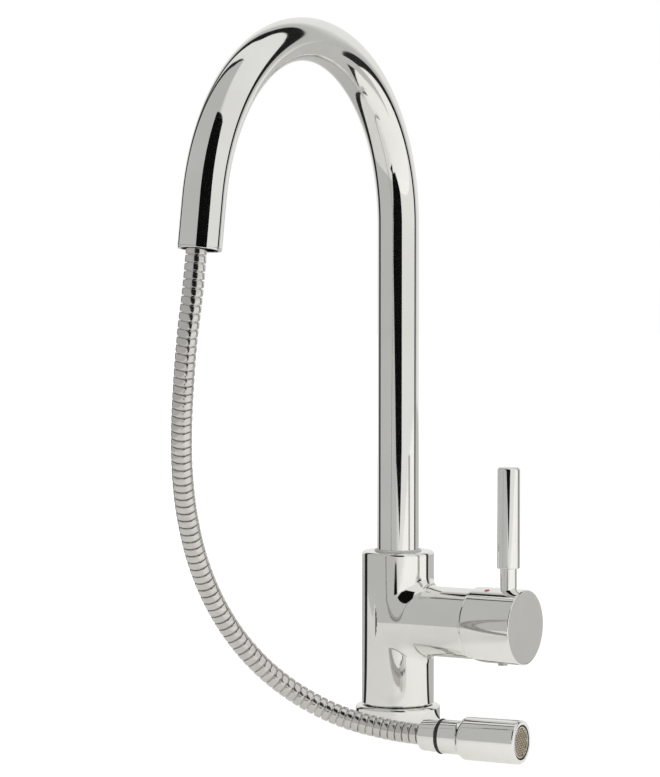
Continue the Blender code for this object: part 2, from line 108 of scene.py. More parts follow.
def turnedPiece(name, outline, sides=128, ringShaped=False):
    # (radius, height, rounding) points, extruded and scaled ring by ring from a circle
    deselectAll()
    radius, height = outline[0][:2]
    bpy.ops.mesh.primitive_circle_add(
        vertices=sides, radius=radius, fill_type="NOTHING" if ringShaped else "NGON", location=(0, 0, height)
    )
    piece = namedPiece(name)
    bpy.ops.object.transform_apply(location=True, rotation=False, scale=False)
    bpy.ops.object.mode_set(mode="EDIT")
    bpy.ops.mesh.select_all(action="SELECT")
    corners = list(outline[1:])
    if ringShaped:
        corners.append(outline[0])
    for corner in corners:
        bpy.ops.mesh.extrude_region_move(TRANSFORM_OT_translate={"value": (0, 0, corner[1] - height)})
        growth = corner[0] / radius
        bpy.ops.transform.resize(value=(growth, growth, 1), center_override=(0, 0, corner[1]))
        radius, height = corner[:2]
    bpy.ops.mesh.select_all(action="SELECT")
    bpy.ops.mesh.remove_doubles(threshold=1e-6)
    bpy.ops.mesh.normals_make_consistent(inside=False)
    for corner in outline:
        if len(corner) > 2:
            roundRing(piece, *corner)
    bpy.ops.object.mode_set(mode="OBJECT")
    return piece


def placed(piece, position, rotation=(0.0, 0.0, 0.0)):
    selectOnly(piece)
    piece.location = position
    piece.rotation_euler = rotation
    bpy.ops.object.transform_apply(location=True, rotation=True, scale=True)
    return piece


def polished(piece, degrees=35.0):
    # flat faces stay flat and rolled edges run smoothly into them
    selectOnly(piece)
    bpy.ops.object.shade_smooth_by_angle(angle=math.radians(degrees))
    applyModifier(piece, "WEIGHTED_NORMAL", keep_sharp=True, weight=100)
    return piece


def fitted(piece, body, slotName, finish, *nodes):
    piece.data.materials.clear()
    piece.data.materials.append(finish)
    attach(piece, body)
    if nodes:
        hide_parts(*nodes)
    return piece


def hexColour(code):
    parts = [int(code[i:i + 2], 16) / 255 for i in (0, 2, 4)]
    return tuple(p / 12.92 if p <= 0.04045 else ((p + 0.055) / 1.055) ** 2.4 for p in parts) + (1.0,)


def addNode(tree, kind, inputs=None, **settings):
    node = tree.nodes.new("ShaderNode" + kind)
    for name, value in settings.items():
        setattr(node, name, value)
    for socket, value in (inputs or {}).items():
        if isinstance(value, bpy.types.NodeSocket):
            tree.links.new(value, node.inputs[socket])
        else:
            node.inputs[socket].default_value = value
    return node


def mathOutput(tree, operation, *values):
    return addNode(tree, "Math", dict(enumerate(values)), operation=operation).outputs["Value"]


def vectorOutput(tree, operation, *values, output="Vector"):
    return addNode(tree, "VectorMath", dict(enumerate(values)), operation=operation).outputs[output]


def emissionOutput(tree, colour, strength=1.0):
    return addNode(tree, "Emission", {"Color": colour, "Strength": strength}).outputs["Emission"]


def mixedColour(tree, factor, first, second):
    # the colour sockets of the mix node are its seventh and eighth inputs, and the result is its third output
    mix = addNode(tree, "Mix", {"Factor": factor, 6: first, 7: second}, data_type="RGBA")
    return mix.outputs[2]


def finishedMaterial(tree, surface):
    addNode(tree, "OutputMaterial", {"Surface": surface})


def emptyMaterial(name):
    material = bpy.data.materials.new(name)
    material.use_nodes = True
    material.node_tree.nodes.clear()
    return material, material.node_tree


def rampNode(tree, factor, stops):
    # stops are (position, colour) with the colour as linear RGBA
    node = addNode(tree, "ValToRGB", {"Fac": factor})
    elements = node.color_ramp.elements
    while len(elements) < len(stops):
        elements.new(0.5)
    for element, (position, colour) in zip(elements, stops):
        element.position = position
        element.color = colour
    return node


def surfaceMaterial(name, recipe):
    # colour and roughness drift with the grain, and the same grain lifts the surface a little
    material, tree = emptyMaterial(name)
    place = addNode(tree, "TexCoord").outputs["Object"]
    stretched = addNode(tree, "Mapping", {"Vector": place, "Scale": recipe.get("stretch", (1, 1, 1))})
    grain = addNode(
        tree, "TexNoise",
        {"Vector": stretched.outputs["Vector"], "Scale": 1.0 / recipe["grainSize"],
         "Detail": 4.0, "Roughness": 0.55},
    )
    drift = addNode(tree, "TexNoise", {"Vector": place, "Scale": 1.0 / recipe["driftSize"], "Detail": 2.0})
    colour = rampNode(
        tree, drift.outputs["Fac"],
        [(0.30, hexColour(recipe["colours"][0])), (0.70, hexColour(recipe["colours"][1]))],
    )
    low, high = recipe["roughness"]
    rough = addNode(
        tree, "MapRange",
        {"Value": grain.outputs["Fac"], "From Min": 0.25, "From Max": 0.75, "To Min": low, "To Max": high},
    )
    bump = addNode(
        tree, "Bump",
        {"Height": grain.outputs["Fac"], "Strength": recipe["bumpStrength"], "Distance": recipe["bumpDepth"]},
    )
    shader = addNode(
        tree, "BsdfPrincipled",
        {"Base Color": colour.outputs["Color"], "Roughness": rough.outputs["Result"],
         "Metallic": recipe["metallic"], "Normal": bump.outputs["Normal"]},
    )
    for socket, value in recipe.get("shader", {}).items():
        shader.inputs[socket].default_value = value
    finishedMaterial(tree, shader.outputs["BSDF"])
    return material


finishRecipes = {
    # bright chromium over buffed brass: a clean mirror with faint wiping haze, 40 mm cloudy drift
    "polishedChromePlate": {
        "colours": ("e9e9e6", "efefec"), "metallic": 1.0, "roughness": (0.035, 0.075),
        "grainSize": 0.006, "driftSize": 0.040, "bumpStrength": 0.02, "bumpDepth": 0.00001,
    },
    # interlocked stainless strip, rolled bright: soft reflections with fine lines along the roll
    "rolledStainlessStrip": {
        "colours": ("d2d0cd", "dddbd8"), "metallic": 1.0, "roughness": (0.13, 0.21),
        "grainSize": 0.0004, "driftSize": 0.012, "bumpStrength": 0.04, "bumpDepth": 0.00001,
    },
    # turned brass, unplated: warm, with turning lines 0.3 mm apart
    "turnedBrass": {
        "colours": ("b8975a", "cfb074"), "metallic": 1.0, "roughness": (0.22, 0.38),
        "grainSize": 0.0003, "stretch": (1, 1, 8), "driftSize": 0.010,
        "bumpStrength": 0.25, "bumpDepth": 0.00003,
    },
    # drawn stainless bar: cool grey, satin
    "drawnStainlessBar": {
        "colours": ("b9b9b6", "cbcbc8"), "metallic": 1.0, "roughness": (0.18, 0.32),
        "grainSize": 0.0004, "stretch": (6, 6, 1), "driftSize": 0.006,
        "bumpStrength": 0.2, "bumpDepth": 0.00002,
    },
    # injection-moulded acetal: waxy white with a fine mould texture
    "mouldedAcetal": {
        "colours": ("dddddb", "e8e8e6"), "metallic": 0.0, "roughness": (0.35, 0.50),
        "grainSize": 0.0005, "driftSize": 0.008, "bumpStrength": 0.15, "bumpDepth": 0.00002,
        "shader": {"IOR": 1.48, "Subsurface Weight": 0.05, "Subsurface Scale": 0.001},
    },
    # glass-filled nylon: grey, with fibre mottling at 0.5 mm
    "glassFilledNylon": {
        "colours": ("6e7174", "84878a"), "metallic": 0.0, "roughness": (0.45, 0.65),
        "grainSize": 0.0005, "driftSize": 0.003, "bumpStrength": 0.3, "bumpDepth": 0.00003,
        "shader": {"IOR": 1.53},
    },
    # pressed nitrile rubber: near black, matt, with a faint bloom
    "pressedRubber": {
        "colours": ("1c1c1c", "2a2a2a"), "metallic": 0.0, "roughness": (0.50, 0.72),
        "grainSize": 0.0004, "driftSize": 0.005, "bumpStrength": 0.3, "bumpDepth": 0.00003,
        "shader": {"IOR": 1.52},
    },
    # lapped alumina: ivory, dense, almost glossy
    "lappedAlumina": {
        "colours": ("e6e4dd", "efede7"), "metallic": 0.0, "roughness": (0.15, 0.28),
        "grainSize": 0.0003, "driftSize": 0.004, "bumpStrength": 0.08, "bumpDepth": 0.00001,
        "shader": {"IOR": 1.76},
    },
    # nylon of the aerator's core, painted near black as painted shade deep inside the spray head, matt so
    # that the screen stands out over it
    "paintedShadeNylon": {
        "colours": ("0c0b0a", "171513"), "metallic": 0.0, "roughness": (0.55, 0.75),
        "grainSize": 0.0004, "driftSize": 0.003, "bumpStrength": 0.3, "bumpDepth": 0.00003,
        "shader": {"IOR": 1.53},
    },
    # woven stainless wire gone slightly tan from water
    "wovenWire": {
        "colours": ("c4b8a4", "d8cdbb"), "metallic": 1.0, "roughness": (0.25, 0.40),
        "grainSize": 0.0004, "driftSize": 0.003, "bumpStrength": 0.2, "bumpDepth": 0.00002,
    },
}
finishes = {name: surfaceMaterial(name, recipe) for name, recipe in finishRecipes.items()}


enamel = {
    "mottleSize": 0.0006, "wobble": 0.0002, "spread": 0.0023, "coreEnd": 0.62, "haloStart": 0.84,
    "roughness": (0.12, 0.28),
}


def markMaterial(name, centre, coreCode, haloCode):
    # glossy enamel dot with a paler rim where it thins out over the chrome
    material, tree = emptyMaterial(name)
    place = addNode(tree, "TexCoord").outputs["Object"]
    away = vectorOutput(tree, "DISTANCE", place, centre, output="Value")
    mottle = addNode(tree, "TexNoise", {"Vector": place, "Scale": 1.0 / enamel["mottleSize"], "Detail": 2.0})
    wobble = mathOutput(tree, "MULTIPLY_ADD", mottle.outputs["Fac"], enamel["wobble"], away)
    colour = rampNode(
        tree, mathOutput(tree, "DIVIDE", wobble, enamel["spread"]),
        [(enamel["coreEnd"], hexColour(coreCode)), (enamel["haloStart"], hexColour(haloCode))],
    )
    low, high = enamel["roughness"]
    rough = addNode(tree, "MapRange", {"Value": mottle.outputs["Fac"], "To Min": low, "To Max": high})
    shader = addNode(
        tree, "BsdfPrincipled",
        {"Base Color": colour.outputs["Color"], "Roughness": rough.outputs["Result"], "IOR": 1.5},
    )
    finishedMaterial(tree, shader.outputs["BSDF"])
    return material


print("stage: finishes ready")

# a long lens from well back, on the lever's side
camera = {
    "position": (1.2957, -2.2542, 0.3859), "tilt": 86.461, "turn": 30.902, "lens": 179.2, "sensor": 36.0,
}
cameraData = bpy.data.cameras.new("studioCamera")
cameraData.sensor_fit = "VERTICAL"
cameraData.sensor_height = camera["sensor"]
cameraData.lens = camera["lens"]
cameraObject = bpy.data.objects.new("studioCamera", cameraData)
scene.collection.objects.link(cameraObject)
cameraObject.location = camera["position"]
cameraObject.rotation_euler = (math.radians(camera["tilt"]), 0.0, math.radians(camera["turn"]))
scene.camera = cameraObject

# the hose runs between the spout and the spray head, so their main sizes come first
spout = {
    "radius": 0.0140, "wall": 0.0012, "archRadius": 0.1213, "archHeight": 0.3353,
    "tilt": math.radians(9.5), "leg": 0.0305, "foot": 0.0925, "archSteps": 170,
}
sprayHead = {
    "tip": Vector((0.1615, -0.1247, 0.0142)), "turn": math.radians(3.0), "length": 0.0700,
}
hose = {
    "radius": 0.00670, "groove": 0.00515, "offset": 0.0035, "inCollar": 0.0035, "pitch": 0.0051, "sides": 48,
    "pathStep": 0.002,
    "route": (
        (-0.0010, -0.2525, 0.2990), (-0.0050, -0.2525, 0.2710), (-0.0100, -0.2490, 0.2430),
        (-0.0160, -0.2423, 0.2140), (-0.0217, -0.2330, 0.1847), (-0.0257, -0.2212, 0.1555),
        (-0.0268, -0.2078, 0.1268), (-0.0238, -0.1930, 0.0992), (-0.0160, -0.1777, 0.0740),
        (-0.0026, -0.1627, 0.0520), (0.0163, -0.1489, 0.0346), (0.0402, -0.1378, 0.0223),
        (0.0683, -0.1308, 0.0160),
    ),
    # one strip turn: how far along the pitch, and how far out between groove and crown
    "turnShape": ((0.00, 0.0), (0.055, 0.02), (0.075, 0.70), (0.11, 0.87), (0.18, 0.945), (0.32, 0.99),
                  (0.52, 1.0), (0.70, 0.985), (0.84, 0.93), (0.90, 0.85), (0.930, 0.70), (0.950, 0.02)),
}

sweep = math.pi - spout["tilt"]
outletWay = Vector((0.0, -math.sin(spout["tilt"]), -math.cos(spout["tilt"])))
outletSide = Vector((0.0, -math.cos(spout["tilt"]), math.sin(spout["tilt"])))
archEnd = Vector((
    0.0,
    spout["archRadius"] * (math.cos(sweep) - 1),
    spout["archHeight"] + spout["archRadius"] * math.sin(sweep),
))
outletEnd = archEnd + spout["leg"] * outletWay
alongOutlet = (math.pi - spout["tilt"], 0.0, 0.0)
headWay = Vector((math.cos(sprayHead["turn"]), math.sin(sprayHead["turn"]), 0.0))
headStart = sprayHead["tip"] - sprayHead["length"] * headWay
alongHead = (0.0, math.pi / 2, sprayHead["turn"])


def smoothPath(points, spacing):
    # an even curve through every point
    points = [Vector(p) for p in points]
    padded = [2 * points[0] - points[1], *points, 2 * points[-1] - points[-2]]
    result = []
    for a, b, c, d in zip(padded, padded[1:], padded[2:], padded[3:]):
        count = max(1, round((c - b).length / spacing))
        for i in range(count):
            t = i / count
            result.append(0.5 * (
                2 * b + (c - a) * t + (2 * a - 5 * b + 4 * c - d) * t ** 2 + (3 * b - 3 * c + d - a) * t ** 3
            ))
    result.append(points[-1])
    return result


def pathAtDistances(points, distances):
    # where the line is at each distance along it, and how long it is
    line = np.array([tuple(p) for p in points])
    along = np.concatenate([[0.0], np.cumsum(np.linalg.norm(np.diff(line, axis=0), axis=1))])
    return np.stack([np.interp(distances, along, line[:, k]) for k in range(3)], axis=1), along[-1]


def sweptRings(name, centres, radii, sides):
    # a closed tube through the centres, its rings carried along without twist
    centres = np.asarray(centres)
    tangents = np.gradient(centres, axis=0)
    tangents /= np.linalg.norm(tangents, axis=1)[:, None]
    side = np.cross(tangents[0], (0.0, 0.0, 1.0) if abs(tangents[0][2]) < 0.8 else (1.0, 0.0, 0.0))
    angles = np.linspace(0, 2 * math.pi, sides, endpoint=False)
    rings = []
    for centre, tangent, radius in zip(centres, tangents, radii):
        side = side - tangent * side.dot(tangent)
        side /= np.linalg.norm(side)
        other = np.cross(tangent, side)
        rings.append(centre + radius * (np.cos(angles)[:, None] * side + np.sin(angles)[:, None] * other))
    vertices = np.concatenate(rings)
    faces = []
    for i in range(len(centres) - 1):
        for j in range(sides):
            k = (j + 1) % sides
            faces.append((i * sides + j, i * sides + k, (i + 1) * sides + k, (i + 1) * sides + j))
    faces.append(tuple(reversed(range(sides))))
    faces.append(tuple(range(len(vertices) - sides, len(vertices))))
    mesh = bpy.data.meshes.new(name)
    mesh.from_pydata(vertices.tolist(), [], faces)
    mesh.validate()
    piece = bpy.data.objects.new(name, mesh)
    scene.collection.objects.link(piece)
    return piece


hoseStart = outletEnd + hose["offset"] * outletSide
hoseEnd = headStart + hose["inCollar"] * headWay
hoseLine = smoothPath([hoseStart, *hose["route"], headStart, hoseEnd], hose["pathStep"])
hoseLength = pathAtDistances(hoseLine, [0.0])[1]
turnCount = round(hoseLength / hose["pitch"])
turnLength = hoseLength / turnCount
distances = []
hoseRadii = []
for turnIndex in range(turnCount):
    for along, out in hose["turnShape"]:
        distances.append((turnIndex + along) * turnLength)
        hoseRadii.append(hose["groove"] + (hose["radius"] - hose["groove"]) * out)
distances.append(hoseLength)
hoseRadii.append(hose["groove"])
hoseCentres = pathAtDistances(hoseLine, distances)[0]
hosePiece = sweptRings("stripwound_hose", hoseCentres, hoseRadii, hose["sides"])
polished(hosePiece, 50.0)
fitted(hosePiece, "spout", "hose_steel", finishes["rolledStainlessStrip"], "hose")
print("stage: hose ready, length", round(hoseLength, 4))

# the ring on the deck
base = {"radius": 0.0285, "top": 0.0116, "bore": 0.0223, "topRounding": 0.0022, "footRounding": 0.0004}
basePiece = turnedPiece(
    "deck_flange",
    [(base["bore"], base["top"]), (base["radius"], base["top"], base["topRounding"]),
     (base["radius"], 0.0, base["footRounding"]), (base["bore"], 0.0)],
    sides=160, ringShaped=True,
)
polished(basePiece)
fitted(basePiece, "mixer", "polished_chrome", finishes["polishedChromePlate"], "base_flange")

# mixer body and side branch, cast as one
body = {
    "radius": 0.0243, "foot": 0.0119, "top": 0.1156, "topRounding": 0.0018, "footRounding": 0.0010,
    "branchHeight": 0.0694, "branchRadius": 0.0235, "branchEnd": 0.0606, "endRounding": 0.0012,
    "fillet": 0.0055,
    # the spigot goes down into the base ring
    "spigotRadius": 0.0220, "spigotFoot": 0.0004, "spigotTop": 0.04,
    # the bore takes the spout's foot and the chamber takes the cartridge; both tools run on past the metal
    "boreRadius": 0.0159, "boreFloor": 0.0842, "boreTop": 0.13,
    "chamberRadius": 0.0205, "chamberStart": 0.0500, "chamberEnd": 0.07,
    "voxel": 0.00075, "settleRounds": 12,
}


def bodyDistance(points):
    # distance outside the cast body: a rolled-over cylinder and a side branch in one rounded joint
    x, y, z = points.T
    middle = (body["top"] + body["foot"]) / 2
    rounding = np.where(z > middle, body["topRounding"], body["footRounding"])
    outwards = np.hypot(x, y) - (body["radius"] - rounding)
    upwards = np.abs(z - middle) - ((body["top"] - body["foot"]) / 2 - rounding)
    column = np.hypot(np.maximum(outwards, 0), np.maximum(upwards, 0))
    column += np.minimum(np.maximum(outwards, upwards), 0) - rounding
    branch = np.hypot(y, z - body["branchHeight"]) - body["branchRadius"]
    branch = np.maximum(branch, -x)
    fillet = body["fillet"]
    joined = np.maximum(fillet, np.minimum(column, branch)) - np.hypot(
        np.maximum(fillet - column, 0), np.maximum(fillet - branch, 0)
    )
    # the branch ends in a small rolled edge against the lever's cap
    endRounding = body["endRounding"]
    across = np.maximum(joined + endRounding, 0)
    beyond = np.maximum(x - body["branchEnd"] + endRounding, 0)
    rolled = np.hypot(across, beyond) - endRounding
    joined = np.where(x > body["radius"], np.maximum(joined, rolled), joined)
    spigot = np.maximum(
        np.hypot(x, y) - body["spigotRadius"], np.maximum(body["spigotFoot"] - z, z - body["spigotTop"])
    )
    return np.minimum(joined, spigot)


def bodySlope(points):
    # the direction straight out of the casting at each point
    step = 0.00002
    slope = np.zeros_like(points)
    for k in range(3):
        ahead = points.copy()
        behind = points.copy()
        ahead[:, k] += step
        behind[:, k] -= step
        slope[:, k] = bodyDistance(ahead) - bodyDistance(behind)
    length = np.linalg.norm(slope, axis=1)[:, None]
    return slope / np.maximum(length, 1e-12)


def vertexArray(mesh):
    points = np.zeros(len(mesh.vertices) * 3)
    mesh.vertices.foreach_get("co", points)
    return points.reshape(-1, 3)


bodyPiece = turnedPiece(
    "mixer_casting",
    [(body["spigotRadius"], body["spigotFoot"]), (body["spigotRadius"], body["foot"]),
     (body["radius"], body["foot"]), (body["radius"], body["top"])],
    sides=96,
)
branchBlank = turnedPiece(
    "branch_blank", [(body["branchRadius"], 0.0), (body["branchRadius"], body["branchEnd"])], sides=96
)
placed(branchBlank, (0.0, 0.0, body["branchHeight"]), alongX)
cutWith(bodyPiece, branchBlank, "UNION")
applyModifier(bodyPiece, "REMESH", mode="VOXEL", voxel_size=body["voxel"])
bodyPoints = vertexArray(bodyPiece.data)
for _ in range(body["settleRounds"]):
    bodyPoints -= bodySlope(bodyPoints) * bodyDistance(bodyPoints)[:, None]
bodyPiece.data.vertices.foreach_set("co", bodyPoints.ravel())
bodyPiece.data.update()
spoutBore = turnedPiece(
    "spout_bore", [(body["boreRadius"], body["boreFloor"]), (body["boreRadius"], body["boreTop"])]
)
cutWith(bodyPiece, spoutBore)
chamber = turnedPiece(
    "chamber_bore",
    [(body["chamberRadius"], body["chamberStart"]), (body["chamberRadius"], body["chamberEnd"])],
)
placed(chamber, (0.0, 0.0, body["branchHeight"]), alongX)
cutWith(bodyPiece, chamber)


def trueNormals(piece, distance, slope, near=0.00003, agree=0.6):
    # the cast surface shades by its own exact slope, the bores by their flat faces
    mesh = piece.data
    mesh.shade_smooth()
    points = vertexArray(mesh)
    slopes = slope(points)
    onSurface = np.abs(distance(points)) < near
    faceNormals = np.zeros(len(mesh.polygons) * 3)
    mesh.polygons.foreach_get("normal", faceNormals)
    faceNormals = faceNormals.reshape(-1, 3)
    counts = np.zeros(len(mesh.polygons), int)
    mesh.polygons.foreach_get("loop_total", counts)
    owners = np.repeat(np.arange(len(counts)), counts)
    corners = np.zeros(len(mesh.loops), int)
    mesh.loops.foreach_get("vertex_index", corners)
    normals = faceNormals[owners]
    follows = onSurface[corners] & ((slopes[corners] * normals).sum(axis=1) > agree)
    normals[follows] = slopes[corners][follows]
    mesh.normals_split_custom_set(normals.tolist())


trueNormals(bodyPiece, bodyDistance, bodySlope)
fitted(bodyPiece, "mixer", "polished_chrome", finishes["polishedChromePlate"], "mixer_body")
print("stage: mixer body ready,", len(bodyPiece.data.polygons), "faces")

# gooseneck: a circle drawn up the column, spun round the arch and run down into the outlet
deselectAll()
bpy.ops.mesh.primitive_circle_add(
    vertices=128, radius=spout["radius"], fill_type="NOTHING", location=(0, 0, spout["foot"])
)
spoutPiece = namedPiece("gooseneck_tube")
bpy.ops.object.transform_apply(location=True, rotation=False, scale=False)
bpy.ops.object.mode_set(mode="EDIT")
bpy.ops.mesh.select_all(action="SELECT")
bpy.ops.mesh.extrude_region_move(
    TRANSFORM_OT_translate={"value": (0, 0, spout["archHeight"] - spout["foot"])}
)
bpy.ops.mesh.spin(
    steps=spout["archSteps"], angle=-sweep, axis=(1, 0, 0),
    center=(0, -spout["archRadius"], spout["archHeight"]),
)
bpy.ops.mesh.extrude_region_move(TRANSFORM_OT_translate={"value": tuple(spout["leg"] * outletWay)})
bpy.ops.mesh.select_all(action="SELECT")
bpy.ops.mesh.remove_doubles(threshold=1e-6)
bpy.ops.mesh.normals_make_consistent(inside=False)
bpy.ops.object.mode_set(mode="OBJECT")
applyModifier(spoutPiece, "SOLIDIFY", thickness=spout["wall"], offset=-1.0)
selectOnly(spoutPiece)
bpy.ops.object.shade_smooth_by_angle(angle=math.radians(40))
fitted(spoutPiece, "spout", "polished_chrome", finishes["polishedChromePlate"], "spout_tube")

outlet = {
    "inner": 0.0117, "lip": 0.0138, "sleeve": 0.0125, "lipFace": 0.0013, "lipBack": 0.0003, "tail": -0.0280,
}
outletBush = turnedPiece(
    "outlet_rim",
    [(outlet["inner"], outlet["lipFace"], 0.0003), (outlet["lip"], outlet["lipFace"], 0.0006),
     (outlet["lip"], outlet["lipBack"]), (outlet["sleeve"], outlet["lipBack"]),
     (outlet["sleeve"], outlet["tail"]), (outlet["inner"], outlet["tail"])],
    ringShaped=True,
)
placed(outletBush, outletEnd, alongOutlet)
polished(outletBush)
fitted(outletBush, "spout", "polished_chrome", finishes["polishedChromePlate"], "outlet_bush")

swivel = {"inner": 0.0143, "outer": 0.0156, "foot": 0.1060, "top": 0.1167}
footBush = turnedPiece(
    "swivel_lip",
    [(swivel["inner"], swivel["foot"]), (swivel["outer"], swivel["foot"]),
     (swivel["outer"], swivel["top"], 0.0005), (swivel["inner"], swivel["top"], 0.0003)],
    ringShaped=True,
)
polished(footBush)
fitted(footBush, "mixer", "white_acetal", finishes["mouldedAcetal"], "swivel_bush")
print("stage: spout ready")

# lever: the cap over the branch, the handle on it and the two temperature marks
cap = {
    "radius": 0.0251, "end": 0.0977, "start": 0.0610, "endRounding": 0.0008, "startRounding": 0.0007,
    "hollow": 0.0215, "floor": 0.0765, "skirt": 0.02425, "taperStart": 0.0730, "taperEnd": 0.0660,
    # the underside is cut back so that the cap can tip, by a block with a rounded end
    "reliefMiddle": 0.0650, "reliefSize": (0.0200, 0.0700, 0.0300),
    "reliefStart": 0.0750, "reliefRadius": 0.0161, "roundLength": 0.08,
}
branchAxis = (0.0, 0.0, body["branchHeight"])
capPiece = turnedPiece(
    "lever_cap_shell",
    [(cap["hollow"], cap["floor"]), (cap["hollow"], cap["taperStart"]), (cap["skirt"], cap["taperEnd"]),
     (cap["skirt"], cap["start"]), (cap["radius"], cap["start"], cap["startRounding"]),
     (cap["radius"], cap["end"], cap["endRounding"])],
    sides=160,
)
placed(capPiece, branchAxis, alongX)
reliefHeight = body["branchHeight"] + cap["reliefRadius"] - cap["radius"]
deselectAll()
bpy.ops.mesh.primitive_cube_add(
    size=1.0, location=(cap["reliefMiddle"], 0.0, reliefHeight - cap["reliefSize"][2] / 2)
)
reliefBlock = namedPiece("relief_block")
reliefBlock.scale = cap["reliefSize"]
bpy.ops.object.transform_apply(location=True, rotation=True, scale=True)
deselectAll()
bpy.ops.mesh.primitive_cylinder_add(
    vertices=192, radius=cap["reliefRadius"], depth=cap["roundLength"],
    location=(cap["reliefStart"], 0.0, reliefHeight), rotation=(math.pi / 2, 0.0, 0.0),
)
reliefRound = namedPiece("relief_round")
bpy.ops.object.transform_apply(location=True, rotation=True, scale=True)
cutWith(reliefBlock, reliefRound)
cutWith(capPiece, reliefBlock)
polished(capPiece)
fitted(capPiece, "lever", "polished_chrome", finishes["polishedChromePlate"], "lever_cap")

handle = {"x": 0.0846, "grip": 0.0077, "neck": 0.0056, "foot": 0.0925, "gripFoot": 0.1082, "top": 0.1756}
handlePiece = turnedPiece(
    "lever_grip",
    [(handle["neck"], handle["foot"]), (handle["neck"], handle["gripFoot"]),
     (handle["grip"], handle["gripFoot"], 0.0007), (handle["grip"], handle["top"], 0.0017)],
    sides=96,
)
placed(handlePiece, (handle["x"], 0.0, 0.0))
polished(handlePiece)
fitted(handlePiece, "lever", "polished_chrome", finishes["polishedChromePlate"], "lever_handle")

markSettings = {"x": 0.0726, "turn": math.radians(17.6), "radius": 0.0020, "low": 0.0245, "high": 0.0253}
for side, markName, node, slotName, core, halo in (
    (1, "hotDot", "hot_mark", "red_plastic", "c2263f", "e9a3b2"),
    (-1, "coldDot", "cold_mark", "blue_plastic", "2655b8", "a3b6e9"),
):
    markTurn = side * markSettings["turn"]
    dot = turnedPiece(
        markName,
        [(markSettings["radius"], markSettings["low"]),
         (markSettings["radius"], markSettings["high"], 0.0003)],
        sides=48,
    )
    placed(dot, (markSettings["x"], 0.0, body["branchHeight"]), (markTurn, 0.0, 0.0))
    polished(dot)
    centre = (
        markSettings["x"], -math.sin(markTurn) * markSettings["high"],
        body["branchHeight"] + math.cos(markTurn) * markSettings["high"],
    )
    fitted(dot, "lever", slotName, markMaterial(markName + "Enamel", centre, core, halo), node)
print("stage: lever ready")

# spray head: outline points are (radius, distance from the hose's end, rounding)
tip = sprayHead["length"]
headPieces = {
    "head_collar": {
        "outline": [(0.0071, 0.0040), *arcPoints(0.0082, 0.0022, 0.0017, -120, -10, 8),
                    (0.0104, 0.0130, 0.0004), (0.0085, 0.0130)],
        "node": "spray_collar", "slot": "polished_chrome", "finish": "polishedChromePlate",
    },
    "head_seal": {
        "outline": arcPoints(0.0103, 0.0142, 0.0010, 0, 345, 23),
        "node": "collar_seal", "slot": "black_rubber", "finish": "pressedRubber", "ring": True,
    },
    "head_shell": {
        "outline": [(0.0080, 0.0154), (0.0108, 0.0154, 0.0004), (0.0108, 0.0270), (0.0110, 0.0277),
                    (0.0114, 0.0285), (0.0121, 0.0295), (0.0128, 0.0304), (0.0133, 0.0312), (0.0136, 0.0320),
                    (0.0137, 0.0330), (0.0140, tip, 0.0013), (0.0111, tip, 0.0003), (0.0111, 0.0660)],
        "node": "spray_shell", "slot": "polished_chrome", "finish": "polishedChromePlate",
    },
    # painted shade: the washer's front lip is widened into a 1 mm black ring at the mouth that stands for the
    # shaded gap between the aerator rim and the shell; the washer itself is real rubber
    "aerator_gasket": {
        "outline": [(0.0076, 0.0473), (0.0111, 0.0473), (0.0111, tip - 0.0012, 0.0002),
                    (0.0100, tip - 0.0012, 0.0002), (0.0100, 0.0645), (0.0109, 0.0638), (0.0109, 0.0490),
                    (0.0076, 0.0490)],
        "node": "aerator_washer", "slot": "black_rubber", "finish": "pressedRubber", "ring": True,
    },
    "aerator_rim": {
        "outline": [(0.0094, tip - 0.0004, 0.0002), (0.0099, tip - 0.0004, 0.0002), (0.0099, 0.0640),
                    (0.0108, 0.0635), (0.0108, 0.0493), (0.0085, 0.0493), (0.0085, 0.0510), (0.0094, 0.0510)],
        "node": "aerator_housing", "slot": "polished_chrome", "finish": "polishedChromePlate", "ring": True,
    },
}
for pieceName, facts in headPieces.items():
    piece = turnedPiece(pieceName, facts["outline"], ringShaped=facts.get("ring", False))
    placed(piece, headStart, alongHead)
    polished(piece, 40.0)
    fitted(piece, "spray_head", facts["slot"], finishes[facts["finish"]], facts["node"])

# woven aerator screen: crossing wires that rise and dip over each other
# real wires are about 0.5 mm apart, and these are coarser so that the weave shows
screen = {"radius": 0.0096, "spacing": 0.00150, "wire": 0.00027, "weave": 0.00027, "depth": 0.0685}
screenCurve = bpy.data.curves.new("aerator_screen", "CURVE")
screenCurve.dimensions = "3D"
screenCurve.bevel_depth = screen["wire"]
screenCurve.bevel_resolution = 1
screenCurve.use_fill_caps = True
wireCount = int(screen["radius"] / screen["spacing"])
for direction in (0, 1):
    for i in range(-wireCount, wireCount + 1):
        offset = i * screen["spacing"]
        reach = math.sqrt(max(screen["radius"] ** 2 - offset ** 2, 0.0))
        steps = max(4, int(reach * 2 / screen["spacing"] * 4))
        spline = screenCurve.splines.new("POLY")
        spline.points.add(steps)
        for k in range(steps + 1):
            along = -reach + 2 * reach * k / steps
            phase = math.pi * along / screen["spacing"] + math.pi * (i + direction)
            rise = screen["weave"] * math.cos(phase)
            spot = (along, offset, rise) if direction == 0 else (offset, along, rise)
            spline.points[k].co = (*spot, 1.0)
screenPiece = bpy.data.objects.new("aerator_screen", screenCurve)
scene.collection.objects.link(screenPiece)
selectOnly(screenPiece)
bpy.ops.object.convert(target="MESH")
screenPiece = namedPiece("aerator_screen")
placed(screenPiece, headStart + screen["depth"] * headWay, alongHead)
selectOnly(screenPiece)
bpy.ops.object.shade_smooth()
fitted(screenPiece, "spray_head", "aerator_mesh", finishes["wovenWire"], "aerator_mesh")
print("stage: spray head ready")

